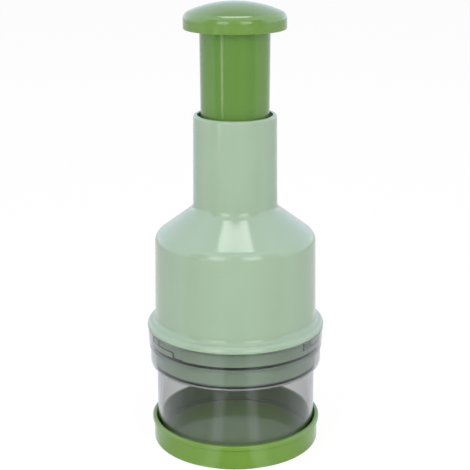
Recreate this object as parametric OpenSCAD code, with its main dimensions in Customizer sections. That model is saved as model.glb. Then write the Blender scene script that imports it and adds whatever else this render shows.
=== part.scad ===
// Plunger food chopper. A clear cup stands in a push-on base cap, and a
// bell-shaped housing locks on the cup's collar with a bayonet. Pressing the
// knob drives three zigzag blades down through a sprung wiper plate, while a
// twisted spindle turns them a sixth of a turn for the next cut.
// The origin is the centre of the underside, +Z is up, the front faces -Y.

/* [Base cap] */
// Height of the base cap to the top of its lip
base_h = 13.1; // [9:0.1:20]
// Thickness of the base cap's wall
base_wall = 1.2; // [1:0.1:2.5]
// Gap between the cup's wall and the base cap's wall
base_gap = 0.8; // [0.6:0.1:2]
// Height of the floor that the cup stands on
base_floor = 2.2; // [1.8:0.1:5]
// Depth of the recess inside the foot ring
foot_recess = 0.8; // [0.4:0.1:1]
// Width of the foot ring
foot_w = 4; // [3:0.5:12]
// Radius of the base cap's lower edge
base_edge = 1.5; // [0.8:0.1:2]
// How far the grip bead stands out from the wall
bead_out = 0.85; // [0.3:0.05:1.5]
// Height of the grip bead
bead_h = 2.4; // [1.8:0.1:4]

/* [Cup] */
// Inner radius of the chopping chamber
chamber_r = 38.5; // [38:0.5:48]
// Thickness of the cup's wall
cup_wall = 2; // [1.5:0.1:2.6]
// Height of the cup
cup_h = 60.3; // [58:0.1:68]
// How far the collar stands out from the wall
collar_out = 3.2; // [2.8:0.1:4]
// Thickness of the shelf between the wall and the collar
shelf_t = 1.3; // [1:0.1:1.6]
// Radius of the collar's lower edge
collar_edge = 2; // [1:0.1:2.2]
// Radius of the fillet under the shelf
shelf_fillet = 0.6; // [0.2:0.1:0.6]
// How far the rim stands out from the collar
rim_out = 0.6; // [0.4:0.1:1.2]
// Height of the rim
rim_h = 10.4; // [9.6:0.1:11]
// How much wider the rim is at its top
rim_draft = 0.65; // [0:0.05:1]
// Thickness of the collar's wall
collar_wall = 2; // [1.8:0.1:2.4]
// Thickness of the rim's wall at its foot
rim_wall = 1.7; // [1.5:0.1:1.9]
// Depth of the upper seat below the rim
seat_depth = 8.5; // [8.3:0.1:9]
// Depth of the lower seat below the rim
lower_seat_depth = 18.9; // [18.7:0.1:19.4]

/* [Bayonet] */
// Angle that a lug covers
lug_angle = 8; // [5:0.5:12]
// Height of a lug
lug_h = 3; // [2:0.1:3.2]
// How far a lug stands in from the rim
lug_depth = 0.85; // [0.6:0.05:1]
// Radial gap between a lug and the floor of its slot
lug_gap = 0.15; // [0.1:0.05:0.2]
// Depth of a lug's top below the rim
lug_drop = 1.5; // [1.2:0.1:2]
// Angle of the first lug from the front
lug_place = -65.5; // [-90:0.5:-30]
// Angle that unlocks the housing
unlock_angle = 24; // [15:1:40]
// Clear angle at each end of a slot
slot_clear_angle = 0.5; // [0.4:0.1:1.5]
// Clear height above and below a lug
slot_clear = 0.5; // [0.3:0.1:0.6]

/* [Housing] */
// Thickness of the housing's wall
wall = 2.1; // [1.6:0.1:2.6]
// Gap between the chamber's radius and the housing's inner wall
body_gap = 0.4; // [0.2:0.1:1]
// How much narrower the body is at its top
body_draft = 0.6; // [0:0.1:1.5]
// Height of the body between the skirt and the shoulder
body_h = 38.3; // [37:0.1:50]
// Height of the skirt
skirt_h = 5.9; // [5:0.1:9]
// How far the skirt reaches past the rim
skirt_over = 0.1; // [0:0.1:0.6]
// Gap between the skirt and the rim
skirt_gap = 0.2; // [0.1:0.1:0.5]
// Radius of the shoulder's edge
shoulder_edge = 5.95; // [4:0.05:8]
// Slope of the shoulder
shoulder_slope = 37; // [30:1:42]
// Radius of the fillet between shoulder and neck
neck_fillet = 2.6; // [1.5:0.1:4]
// Height of the neck above its fillet
neck_h = 45.3; // [44:0.1:56]
// Thickness of the neck's wall at its foot
neck_wall = 2.5; // [2:0.1:3.5]
// How much narrower the neck is at its top
neck_draft = 0.5; // [0:0.1:0.8]
// Radius of the neck's upper edge
neck_edge = 1.2; // [0.5:0.1:1.4]
// Radial gap between the spigot and the collar
spigot_gap = 0.3; // [0.2:0.05:0.5]
// Gap between the spigot's band and the upper seat
band_lift = 0.9; // [0.3:0.1:1.2]
// Gap between the spigot's end and the lower seat
spigot_lift = 1.35; // [0.3:0.05:2]
// Chamfer on the spigot's edges
spigot_edge = 0.3; // [0.1:0.1:0.6]
// Height of the groove under the spigot's band
groove_h = 1.5; // [1:0.1:2]
// Depth of the groove and of the step down to the spigot's tongue
groove_depth = 1.3; // [0.8:0.1:1.5]
// Gap between the level of the spigot's tongue and the lower seat
tongue_lift = 0.2; // [0.1:0.05:0.25]

/* [Plunger] */
// Travel of the plunger
stroke = 41; // [36:0.5:41.5]
// Outer radius of the plunger tube at the knob
plunger_r = 17.2; // [16.9:0.1:20]
// How much narrower the tube is at its foot
plunger_draft = 0.35; // [0:0.05:0.6]
// Thickness of the tube's wall at the knob
plunger_wall = 2; // [1.6:0.1:2.2]
// Running gap around the tube
plunger_gap = 0.3; // [0.2:0.05:0.5]
// How far the foot flange stands out past the tube
flange_out = 1.1; // [0.8:0.1:2]
// Height of the foot flange
flange_h = 3.2; // [2:0.1:4]
// Depth of the stop lip below the neck's top
lip_depth = 3.5; // [2.5:0.1:6]
// Height of the stop lip
lip_h = 2.5; // [1.5:0.1:4]
// Gap between the foot flange and the stop lip
stop_gap = 0.1; // [0.05:0.05:0.3]
// Gap between knob and neck at the end of the stroke
bump_gap = 0.45; // [0.3:0.05:2]
// Depth of the tube's web below the knob
web_depth = 7.5; // [7:0.1:9]
// Thickness of the web
web_t = 3; // [2:0.1:3.5]
// Thickness of the plate under the knob
plate_t = 2; // [1.5:0.1:2.5]

/* [Knob] */
// Outer radius of the knob
knob_r = 25.1; // [23:0.1:32]
// Height of the knob's straight side
knob_side = 5.3; // [4.5:0.1:9]
// Radius of the knob's upper edge
knob_edge = 3.3; // [3:0.1:5]
// Radius of the knob's dome
dome_r = 57; // [45:1:120]
// Thickness of the knob's shell
knob_wall = 2.2; // [1.6:0.1:2.8]
// Radius of the knob's lower edge
knob_foot = 0.5; // [0.3:0.1:1]
// Thickness of the knob's inner ring
plug_wall = 1.8; // [1.4:0.1:2.2]
// Length of the ring inside the tube
plug_h = 3.6; // [2.4:0.1:4]
// Radial gap around the ring and the plate
plug_gap = 0.05; // [0.05:0.05:0.2]

/* [Guide] */
// Thickness of the deck
deck_t = 3; // [2.5:0.1:4]
// Depth of the deck's top below the shoulder
deck_drop = 3.9; // [3.5:0.1:6]
// Gap between the deck and the housing's wall
deck_gap = 0.4; // [0.3:0.1:1]
// Radial gap between the guide tube and the plunger tube
guide_gap = 0.6; // [0.4:0.1:1]
// Thickness of the guide tube's wall
guide_wall = 2; // [1.5:0.1:2.2]
// Gap between the guide tube and the web, plunger down
guide_clear = 13; // [2:0.5:20]
// Thickness of the ribs under the deck
rib_t = 1.6; // [1.2:0.1:2.5]
// Gap between the blade hub and the guide's foot
hub_clear = 3; // [1:0.1:4]
// Distance of the screws' axes from the deck's edge
screw_inset = 7.9; // [6.9:0.1:11]
// Radius of a screw boss
boss_r = 3.5; // [3:0.1:4]
// Radius of a deck screw's shank
screw_r = 1.25; // [1:0.05:1.6]
// Length of a deck screw's shank
screw_len = 10; // [7:0.5:11]
// Radius of a deck screw's head
screw_head_r = 2.6; // [2.4:0.1:3]
// Radius of a deck screw's head at its crown
screw_crown_r = 2.1; // [1.9:0.1:2.3]
// Height of a deck screw's head
screw_head_h = 2; // [1.5:0.1:2.5]
// Radial gap around a screw in the deck
screw_gap = 0.25; // [0.15:0.05:0.4]

/* [Spiral drive] */
// Angle that the blades turn in a full stroke
turn_angle = 60; // [30:1:75]
// Width of the twisted strip
strip_w = 8; // [6:0.1:8.8]
// Thickness of the twisted strip
strip_t = 2.5; // [2:0.1:3.2]
// Gap between the strip and its nut
nut_gap = 0.15; // [0.1:0.05:0.3]
// Radius of the nut's body
nut_r = 6.4; // [6:0.1:7]
// Radius of the nut's hexagon across its corners
nut_hex_r = 9.5; // [8.6:0.1:10.5]
// Height of the nut's hexagon
nut_hex_h = 3; // [2:0.1:4]
// Height of the nut's body below the hexagon
nut_body_h = 3; // [2:0.1:4]
// Gap between the nut and its seat
nut_seat_gap = 0.1; // [0.05:0.05:0.2]
// Radius of the spindle's plain rod
rod_r = 5; // [4.8:0.1:6]
// Length of strip above the nut, plunger down
strip_spare = 8; // [3:0.5:14]
// Radius of the spindle's lower journal
journal_r = 4.9; // [4.6:0.1:5.6]
// Radius of the spindle's upper journal
pivot_r = 3; // [2.6:0.1:3.4]
// Running gap of the upper journal
pivot_gap = 0.1; // [0.05:0.05:0.2]
// End play of the spindle
end_play = 0.2; // [0.1:0.05:0.3]
// Radius of the spindle screw's shank
spindle_screw_r = 1.5; // [1.2:0.1:1.8]
// Length of the spindle screw's shank
spindle_screw_len = 10; // [6:0.5:14]
// Radius of the spindle screw's head
spindle_head_r = 2.8; // [2.5:0.1:3.4]
// Height of the spindle screw's head
spindle_head_h = 1.6; // [1.2:0.1:2]
// Thickness of a washer
washer_t = 1; // [0.8:0.1:1.2]
// Outer radius of the spindle's washers
washer_r = 6; // [5.4:0.1:6.4]

/* [Springs] */
// Mean radius of the return spring
spring_r = 10.5; // [10:0.1:11]
// Wire diameter of the return spring
spring_wire = 1.6; // [1.2:0.1:1.8]
// Turns of the return spring
spring_turns = 14; // [8:1:18]
// Gap between a wiper spring and the ribs that grip the blades
wiper_spring_gap = 0.3; // [0.2:0.05:0.7]
// Wire diameter of a wiper spring
wiper_wire = 0.7; // [0.5:0.05:0.8]
// Turns of a wiper spring
wiper_turns = 6; // [4:1:7]
// Gap between the end turns of a spring
turn_gap = 0.5; // [0.45:0.05:0.8]

/* [Blades] */
// Height of a blade
blade_h = 20; // [19:0.1:24]
// Thickness of a blade
blade_t = 0.8; // [0.5:0.1:1.2]
// Width of a blade's cutting edge
edge_t = 0.1; // [0.05:0.05:0.2]
// Height of a blade's bevel
bevel_h = 3; // [1.5:0.1:4]
// Gap between the blade tips and the floor, plunger down
tip_clear = 0.8; // [0.4:0.1:2]
// Distance of the outer bends' centres from the carrier's edge
bend_inset = 3.5; // [3:0.1:6]
// Radius of a bend along the middle of the strip
bend_round = 1.2; // [0.8:0.1:1.3]
// Extra room round a bend in the slots and grooves
bend_relief = 0.15; // [0.1:0.05:0.3]
// Radius of the inner bends
inner_bend_r = 12; // [10.5:0.1:16]
// Angle of a blade's ends from its middle
end_angle = 48; // [44:1:50]
// Angle of the inner bends from a blade's middle
bend_angle = 28; // [22:1:30]

/* [Blade carrier] */
// Gap between the carrier and the chamber's wall
carrier_gap = 2; // [1.5:0.1:4]
// Thickness of the carrier's disc
carrier_t = 3; // [2:0.1:4]
// Width of the ribs that grip the blades
grip_w = 3.2; // [2.4:0.1:4]
// Height of the ribs that grip the blades
grip_h = 4; // [3:0.1:5]
// Gap between a blade and its rib
grip_gap = 0.05; // [0.02:0.01:0.1]
// Outer radius of the hub
hub_r = 8; // [7:0.1:10]
// Height of the hub above the disc
hub_h = 15; // [12:0.1:16]
// Gap between the hub and the spindle's journal
hub_gap = 0.1; // [0.05:0.05:0.2]
// Radius of the cross pin
pin_r = 1.2; // [0.8:0.1:1.6]
// Gap around the cross pin
pin_gap = 0.05; // [0.02:0.01:0.1]

/* [Wiper plate] */
// Gap between the wiper plate and the chamber's wall
wiper_gap = 0.9; // [0.6:0.1:1.5]
// Thickness of the wiper plate
wiper_t = 2.5; // [2:0.1:3.5]
// Gap around each blade in the wiper plate
wiper_slot_gap = 0.5; // [0.3:0.1:1]
// Height of the wiper plate above the blade tips
wiper_lift = 0.2; // [0.1:0.1:2]
// Travel of the wiper plate
wiper_travel = 12; // [6:0.5:12.5]
// Radius of a guide post
post_r = 2.2; // [1.8:0.1:2.5]
// Distance of the guide posts' axes from the carrier's edge
post_inset = 12.5; // [11.5:0.5:14.5]
// Gap around a guide post in the carrier
post_gap = 0.4; // [0.3:0.1:0.6]
// Height of a post's snap head
head_h = 3; // [2:0.1:4]
// How far a snap head stands out past its post
head_out = 1; // [0.8:0.1:1.2]
// Width of the split in a snap head
split_w = 1; // [0.8:0.1:1.4]
// Depth of the split below a snap head
split_depth = 6; // [4:0.5:10]
// Gap between a snap head and the carrier
head_gap = 0.1; // [0.05:0.05:0.3]

/* [Hidden] */
$fn = 96;

// How far a cut runs past the surface that it opens
cut = 1;
// Steps of an arc in an outline
arc_steps = 8;
// How many lugs, screws, posts and blades stand round the axis
around = 3;
// The angle of the front, where the angles of the lugs are counted from
front_angle = -90;
// The angle of the first screw, post and wiper spring
post_angle = 60;
// Colours
green = [0.49, 0.66, 0.33];
pale_green = [0.55, 0.71, 0.38];
mint = [0.70, 0.80, 0.69];
smoke = [0.45, 0.45, 0.46, 0.45];
white = [0.93, 0.93, 0.90];
steel = [0.76, 0.77, 0.78];
wire_steel = [0.60, 0.61, 0.63];

// Cup: radii, and heights counted up from the floor
cup_r = chamber_r + cup_wall;
collar_r = cup_r + collar_out;
rim_r = collar_r + rim_out;
rim_top_r = rim_r + rim_draft;
collar_in_r = collar_r - collar_wall;
rim_in_r = rim_r - rim_wall;
rim_z = base_floor + cup_h;
rim_foot_z = rim_z - rim_h;
seat_z = rim_z - seat_depth;
lower_seat_z = rim_z - lower_seat_depth;
shelf_z = lower_seat_z - shelf_t;

// Base cap
base_in_r = cup_r + base_gap;
base_r = base_in_r + base_wall;
bead_r = base_r + bead_out;
foot_in_r = base_r - base_edge - foot_w;

// Housing: radii and heights of the skirt, body, shoulder and neck
body_in_r = chamber_r + body_gap;
body_r = body_in_r + wall;
body_top_r = body_r - body_draft;
skirt_r = rim_top_r + skirt_over;
skirt_z = rim_z + skirt_gap;
body_z = skirt_z + skirt_h;
shoulder_z = body_z + body_h;
plunger_foot_r = plunger_r - plunger_draft;
flange_r = plunger_r + flange_out;
neck_bore_r = flange_r + plunger_gap;
neck_r = neck_bore_r + neck_wall;
edge_end_r = body_top_r - shoulder_edge * (1 - sin(shoulder_slope));
edge_end_z = shoulder_z + shoulder_edge * cos(shoulder_slope);
fillet_r = neck_r + neck_fillet * (1 - sin(shoulder_slope));
fillet_z = edge_end_z + (edge_end_r - fillet_r) * tan(shoulder_slope);
neck_z = fillet_z + neck_fillet * cos(shoulder_slope);
neck_top_z = neck_z + neck_h;
band_r = rim_in_r - spigot_gap;
band_z = seat_z + band_lift;
spigot_r = collar_in_r - spigot_gap;
spigot_z = lower_seat_z + spigot_lift;
tongue_z = lower_seat_z + tongue_lift;
tongue_r = spigot_r - groove_depth;
lip_top_z = neck_top_z - lip_depth;
lip_z = lip_top_z - lip_h;
lip_r = plunger_r + plunger_gap;
lug_top_z = rim_z - lug_drop;
lug_z = lug_top_z - lug_h;

// Plunger
plunger_in_r = plunger_r - plunger_wall;
flange_top_z = lip_z - stop_gap;
flange_z = flange_top_z - flange_h;
knob_z = neck_top_z + stroke + bump_gap;
plate_z = knob_z + knob_foot;
plate_top_z = plate_z + plate_t;
web_z = knob_z - web_depth;
web_top_z = web_z + web_t;
knob_side_z = knob_z + knob_side;
dome_angle = asin((knob_r - knob_edge) / (dome_r - knob_edge));
dome_z = knob_side_z + knob_edge * cos(dome_angle) - dome_r * cos(dome_angle);
plug_r = plunger_in_r - plug_gap;
plate_r = knob_r - knob_wall - plug_gap;

// Blades, carrier and wiper plate, plunger up
tip_z = base_floor + tip_clear + stroke;
carrier_r = chamber_r - carrier_gap;
carrier_z = tip_z + blade_h;
carrier_top_z = carrier_z + carrier_t;
hub_top_z = carrier_top_z + hub_h;
hub_bore_r = journal_r + hub_gap;
pin_z = carrier_top_z + hub_h / 2;
bend_r = carrier_r - bend_inset;
wiper_r = chamber_r - wiper_gap;
wiper_z = tip_z + wiper_lift;
wiper_top_z = wiper_z + wiper_t;
head_z = carrier_top_z + head_gap;
post_circle = carrier_r - post_inset;

// Guide, nut and spindle
guide_r = plunger_in_r - guide_gap;
guide_in_r = guide_r - guide_wall;
deck_top_z = shoulder_z - deck_drop;
deck_z = deck_top_z - deck_t;
deck_r = body_in_r - body_draft - deck_gap;
screw_circle = deck_r - screw_inset;
guide_top_z = web_z - washer_t - stroke - guide_clear;
guide_foot_z = hub_top_z + hub_clear;
nut_z = guide_foot_z;
nut_hex_z = nut_z + nut_body_h;
nut_top_z = nut_hex_z + nut_hex_h;
spring_seat_z = nut_top_z + washer_t;
spring_top_z = web_z - washer_t;
turn_rate = turn_angle / stroke;
strip_z = hub_top_z + hub_clear / 2;
strip_top_z = nut_top_z + stroke + strip_spare;
rod_top_z = web_z - washer_t;
pivot_top_z = web_top_z + end_play;
spindle_foot_z = carrier_top_z + hub_gap - carrier_t / 2;
spindle_washer_top_z = pivot_top_z + washer_t;
// Slices of the twisted strip
strip_slices = 24;
// Steps round a blade's bend
bend_steps = 6;

// Points of an arc round (cx, cz), from angle a to angle b
function arc(cx, cz, r, a, b) =
    [for (i = [0:arc_steps]) [cx + r * cos(a + (b - a) * i / arc_steps),
                              cz + r * sin(a + (b - a) * i / arc_steps)]];

// Points of an S-curve with upright ends, from (r1, z1) up to a narrower (r2, z2)
function s_in(r1, z1, r2, z2) =
    let (w = r1 - r2, h = z2 - z1, r = (h * h + w * w) / (4 * w), a = asin(h / 2 / r))
    concat(arc(r1 - r, z1, r, 0, a), arc(r2 + r, z2, r, 180 + a, 180));

// A ring with plain walls
module ring(r_out, r_in, z, h) {
    translate([0, 0, z]) difference() {
        cylinder(r = r_out, h = h);
        translate([0, 0, -cut]) cylinder(r = r_in, h = h + 2 * cut);
    }
}

// Part of a ring, between two angles
module ring_sector(r_out, r_in, z, h, from, angle) {
    rotate([0, 0, from]) rotate_extrude(angle = angle)
        translate([r_in, z]) square([r_out - r_in, h]);
}

// Copies round the axis
module spread(n, first) {
    for (i = [0:n - 1]) rotate([0, 0, first + i * 360 / n]) children();
}

// BASE CAP: shallow push-on cap with a foot ring and a grip bead at its lip
module base_cap() {
    lip_edge = base_wall / 3;
    bead_z = base_h - bead_h;
    bead_from = -60;
    color(green) rotate_extrude() polygon(concat(
        [[0, foot_recess], [foot_in_r, foot_recess], [foot_in_r, 0]],
        arc(base_r - base_edge, base_edge, base_edge, -90, 0),
        [[base_r, bead_z]],
        arc(bead_r - bead_out, bead_z + bead_out, bead_out, bead_from, 0),
        arc(bead_r - bead_out, base_h - bead_out, bead_out, 0, 90),
        arc(base_in_r + lip_edge, base_h - lip_edge, lip_edge, 90, 180),
        arc(base_in_r - base_gap / 2, base_floor + base_gap / 2, base_gap / 2, 0, -90),
        [[0, base_floor]]));
}

// CUP: open tube with a two-step collar and three bayonet lugs inside the rim
module chopping_cup() {
    foot_edge = cup_wall / 4;
    color(smoke) {
        rotate_extrude() polygon(concat(
            [[chamber_r, base_floor]],
            arc(cup_r - foot_edge, base_floor + foot_edge, foot_edge, -90, 0),
            arc(cup_r + shelf_fillet, shelf_z - shelf_fillet, shelf_fillet, 180, 90),
            arc(collar_r - collar_edge, shelf_z + collar_edge, collar_edge, -90, 0),
            [[collar_r, rim_foot_z - rim_out], [rim_r, rim_foot_z]],
            arc(rim_top_r - foot_edge, rim_z - foot_edge, foot_edge, 0, 90),
            [[rim_in_r, rim_z], [rim_in_r, seat_z], [collar_in_r, seat_z],
             [collar_in_r, lower_seat_z], [chamber_r, lower_seat_z]]));
        spread(around, front_angle + lug_place - lug_angle / 2)
            ring_sector(rim_in_r + rim_wall / 2, rim_in_r - lug_depth, lug_z, lug_h, 0, lug_angle);
    }
}

// HOUSING: outline of the outer surface from the spigot's end to the neck's mouth
function housing_outline() = concat(
    [[0, tongue_z], [tongue_r, tongue_z], [tongue_r, spigot_z],
     [spigot_r - spigot_edge, spigot_z], [spigot_r, spigot_z + spigot_edge],
     [spigot_r, band_z - groove_h], [tongue_r, band_z - groove_h], [tongue_r, band_z],
     [band_r - spigot_edge, band_z], [band_r, band_z + spigot_edge],
     [band_r, skirt_z]],
    s_in(skirt_r, skirt_z, body_r, body_z),
    arc(body_top_r - shoulder_edge, shoulder_z, shoulder_edge, 0, 90 - shoulder_slope),
    arc(neck_r + neck_fillet, neck_z, neck_fillet, 270 - shoulder_slope, 180),
    arc(neck_r - neck_draft - neck_edge, neck_top_z - neck_edge, neck_edge, 0, 90),
    [[0, neck_top_z]]);

// Hollow of the housing, from the spigot's end up through the neck
module housing_hollow() {
    top_in_r = body_top_r - wall;
    slope_r = edge_end_r - wall * sin(shoulder_slope);
    slope_z = edge_end_z - wall * cos(shoulder_slope);
    roof_z = slope_z + (slope_r - neck_bore_r) * tan(shoulder_slope);
    rotate_extrude() polygon(concat(
        [[0, tongue_z - cut], [body_in_r, tongue_z - cut], [body_in_r, body_z]],
        arc(top_in_r - (shoulder_edge - wall), shoulder_z, shoulder_edge - wall, 0,
            90 - shoulder_slope),
        [[neck_bore_r, roof_z], [neck_bore_r, lip_z], [lip_r, lip_z], [lip_r, lip_top_z],
         [neck_bore_r, lip_top_z + (neck_bore_r - lip_r) / 2], [neck_bore_r, neck_top_z + cut],
         [0, neck_top_z + cut]]));
}

// One L-shaped slot of the bayonet: an entry from below and a run to its closed end
module bayonet_slot() {
    floor_r = rim_in_r - lug_depth - lug_gap;
    entry_angle = lug_angle + 2 * slot_clear_angle;
    run_h = lug_h + 2 * slot_clear;
    entry_h = lug_top_z + slot_clear - band_z + cut;
    ring_sector(band_r + cut, floor_r, lug_z - slot_clear, run_h, 0, unlock_angle + entry_angle / 2);
    ring_sector(band_r + cut, floor_r, band_z - cut, entry_h, unlock_angle, entry_angle);
}

// Housing shell: skirt, bell-shaped body, neck, spigot with three slots, three screw bosses
module housing_shell() {
    color(mint) difference() {
        rotate_extrude() polygon(housing_outline());
        difference() {
            housing_hollow();
            spread(around, post_angle) translate([screw_circle, 0, deck_top_z])
                cylinder(r = boss_r, h = neck_z - deck_top_z, $fn = 48);
        }
        spread(around, post_angle) translate([screw_circle, 0, deck_top_z - cut])
            cylinder(r = screw_r, h = screw_len - deck_t + cut, $fn = 48);
        spread(around, front_angle + lug_place - lug_angle / 2 - slot_clear_angle) bayonet_slot();
    }
}

// GUIDE: deck with a guide tube for the spring above it and a nut seat below it
module guide_insert() {
    rib_h = guide_r - guide_in_r + deck_t;
    color(white) difference() {
        union() {
            translate([0, 0, deck_z]) cylinder(r = deck_r, h = deck_t);
            translate([0, 0, guide_foot_z]) cylinder(r = guide_r, h = guide_top_z - guide_foot_z);
            spread(2 * around, post_angle / 2)
                translate([0, -rib_t / 2, deck_z - rib_h])
                cube([deck_r - rib_h, rib_t, rib_h + deck_t / 2]);
        }
        translate([0, 0, nut_top_z]) cylinder(r = guide_in_r, h = guide_top_z - nut_top_z + cut);
        translate([0, 0, nut_hex_z]) cylinder(r = nut_hex_r + nut_seat_gap,
                                              h = nut_hex_h + cut, $fn = 6);
        translate([0, 0, guide_foot_z - cut]) cylinder(r = nut_r + nut_seat_gap,
                                                       h = nut_body_h + 2 * cut);
        spread(around, post_angle) translate([screw_circle, 0, deck_z - cut])
            cylinder(r = screw_r + screw_gap, h = deck_t + 2 * cut, $fn = 48);
    }
}

// Deck screws: three pan-head screws up through the deck into the housing's bosses
module deck_screws() {
    recess_h = screw_head_h / 2;
    color(steel) spread(around, post_angle) translate([screw_circle, 0, 0]) difference() {
        union() {
            translate([0, 0, deck_z - screw_head_h])
                cylinder(r1 = screw_crown_r, r2 = screw_head_r, h = screw_head_h, $fn = 48);
            translate([0, 0, deck_z]) cylinder(r = screw_r, h = screw_len, $fn = 48);
        }
        translate([0, 0, deck_z - screw_head_h - cut])
            cylinder(r = screw_r, h = recess_h + cut, $fn = 6);
    }
}

// SPIRAL DRIVE: a flat strip twisted at the rate that turns the blades
module twisted_strip(z, h, grow, slices) {
    translate([0, 0, z]) rotate([0, 0, turn_rate * (z - nut_z)])
        linear_extrude(height = h, twist = -turn_rate * h, slices = slices, segments = 4)
        square([strip_w + 2 * grow, strip_t + 2 * grow], center = true);
}

// Nut with a twisted slot, held against turning by its hexagon in the guide
module spiral_nut() {
    color(steel) difference() {
        union() {
            translate([0, 0, nut_z]) cylinder(r = nut_r, h = nut_body_h + nut_hex_h / 2);
            translate([0, 0, nut_hex_z]) cylinder(r = nut_hex_r, h = nut_hex_h, $fn = 6);
        }
        twisted_strip(nut_z - cut, nut_body_h + nut_hex_h + 2 * cut, nut_gap, strip_slices / 4);
    }
}

// Spindle: lower journal in the hub, twisted strip, plain rod and upper journal in the web
module drive_spindle() {
    color(steel) difference() {
        union() {
            translate([0, 0, spindle_foot_z])
                cylinder(r = journal_r, h = strip_z - spindle_foot_z);
            twisted_strip(strip_z - hub_gap, strip_top_z - strip_z + 2 * hub_gap, 0, strip_slices);
            translate([0, 0, strip_top_z]) cylinder(r = rod_r, h = rod_top_z - strip_top_z);
            translate([0, 0, rod_top_z - pivot_gap])
                cylinder(r = pivot_r, h = pivot_top_z - rod_top_z + pivot_gap);
        }
        translate([0, 0, pin_z]) rotate([90, 0, 0])
            cylinder(r = pin_r + pin_gap, h = 2 * (journal_r + cut), center = true, $fn = 48);
        translate([0, 0, pivot_top_z - spindle_screw_len - end_play])
            cylinder(r = spindle_screw_r + pin_gap, h = spindle_screw_len + end_play + cut, $fn = 48);
    }
}

// Thrust washer between the rod's shoulder and the web
module thrust_washer() {
    color(white) ring(washer_r, pivot_r + pivot_gap, rod_top_z, washer_t);
}

// Washer that hangs the spindle on the web
module spindle_washer() {
    color(steel) ring(washer_r, spindle_screw_r + pivot_gap, pivot_top_z, washer_t);
}

// Screw that clamps the washer on the spindle's upper end
module spindle_screw() {
    color(steel) difference() {
        union() {
            translate([0, 0, spindle_washer_top_z])
                cylinder(r = spindle_head_r, h = spindle_head_h, $fn = 48);
            translate([0, 0, spindle_washer_top_z - spindle_screw_len])
                cylinder(r = spindle_screw_r, h = spindle_screw_len + spindle_head_h / 2, $fn = 48);
        }
        translate([0, 0, spindle_washer_top_z + spindle_head_h / 2])
            cylinder(r = spindle_screw_r, h = spindle_head_h, $fn = 6);
    }
}

// SPRINGS: height of the wire's centre after t turns; the end turns lie close to their seats
function coil_z(t, turns, h, wire) =
    let (close = wire + turn_gap, pitch = (h - wire - 2 * close) / (turns - 2))
    t < 1 ? close * t : t > turns - 1 ? h - wire - close * (turns - t) : close + pitch * (t - 1);

// Points along a coil, eight to a turn
coil_points = 8;
function coil_path(r, turns, h, wire) =
    [for (i = [0:turns * coil_points]) let (t = i / coil_points)
        [r * cos(360 * t), r * sin(360 * t), wire / 2 + coil_z(t, turns, h, wire)]];

// Directions of the wire at point i: out from the axis, and along the wire
function coil_out(i) = [cos(360 * i / coil_points), sin(360 * i / coil_points), 0];
function coil_along(i) = [-sin(360 * i / coil_points), cos(360 * i / coil_points), 0];

// One ring of the wire's surface round a point
wire_sides = 6;
function wire_ring(p, i, wire) =
    [for (k = [0:wire_sides - 1]) let (a = 360 * k / wire_sides)
        p + wire / 2 * (cos(a) * coil_out(i) + sin(a) * [0, 0, 1])];

// Least gap between the wire's turns, measured from point to point
function least_gap(path, wire) =
    min([for (i = [0:len(path) - 1])
        for (j = [i + coil_points / 2:1:min(len(path) - 1, i + 2 * coil_points)])
            norm(path[i] - path[j])]) - wire;

// A spring as one unbroken wire, with straight ends one wire diameter long
module coil_spring(r, turns, h, wire) {
    path = coil_path(r, turns, h, wire);
    last = len(path) - 1;
    points = concat(
        wire_ring(path[0] - wire * coil_along(0), 0, wire),
        [for (i = [0:last]) each wire_ring(path[i], i, wire)],
        wire_ring(path[last] + wire * coil_along(last), last, wire));
    rings = last + 3;
    polyhedron(points, concat(
        [for (k = [1:wire_sides - 2]) [0, k + 1, k]],
        [for (i = [0:rings - 2]) for (k = [0:wire_sides - 1])
            let (a = i * wire_sides + k, b = i * wire_sides + (k + 1) % wire_sides)
            each [[a, b, b + wire_sides], [a, b + wire_sides, a + wire_sides]]],
        [for (k = [1:wire_sides - 2]) let (e = (rings - 1) * wire_sides) [e, e + k, e + k + 1]]));
    echo(least_gap = least_gap(path, wire));
}

// Return spring between the two washers
module return_spring() {
    color(wire_steel) translate([0, 0, spring_seat_z])
        coil_spring(spring_r, spring_turns, spring_top_z - spring_seat_z, spring_wire);
}

// Washer under the return spring, over the nut
module lower_spring_washer() {
    color(steel) ring(guide_in_r - nut_seat_gap, washer_r, nut_top_z, washer_t);
}

// Washer above the return spring, under the web
module upper_spring_washer() {
    color(steel) ring(plunger_in_r - pivot_gap, washer_r + plunger_gap, spring_top_z, washer_t);
}

// Distance of a point from a blade's straight leg, seen from above
function leg_distance(i, p) =
    abs((p[0] - leg_start(i)[0]) * sin(leg_heading(i)) - (p[1] - leg_start(i)[1]) * cos(leg_heading(i)));

// Three springs that push the wiper plate down, as wide as the ribs beside them allow
module wiper_springs() {
    post = post_circle * [cos(post_angle), sin(post_angle)];
    rib_side = leg_distance(last_bend - 1, post) - grip_w / 2;
    wiper_spring_r = rib_side - wiper_spring_gap - wiper_wire / 2;
    color(wire_steel) spread(around, post_angle) translate([post_circle, 0, wiper_top_z])
        coil_spring(wiper_spring_r, wiper_turns, carrier_z - wiper_top_z, wiper_wire);
}

// PLUNGER: tube with a stop flange at its foot, a web for the spindle and a plate for the knob
module plunger_tube() {
    color(green) rotate_extrude() polygon([
        [plunger_in_r, flange_z], [flange_r, flange_z], [flange_r, flange_top_z],
        [plunger_foot_r, flange_top_z], [plunger_r, plate_z], [plate_r, plate_z],
        [plate_r, plate_top_z], [plunger_in_r, plate_top_z], [plunger_in_r, web_top_z],
        [pivot_r + pivot_gap, web_top_z], [pivot_r + pivot_gap, web_z], [plunger_in_r, web_z]]);
}

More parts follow.
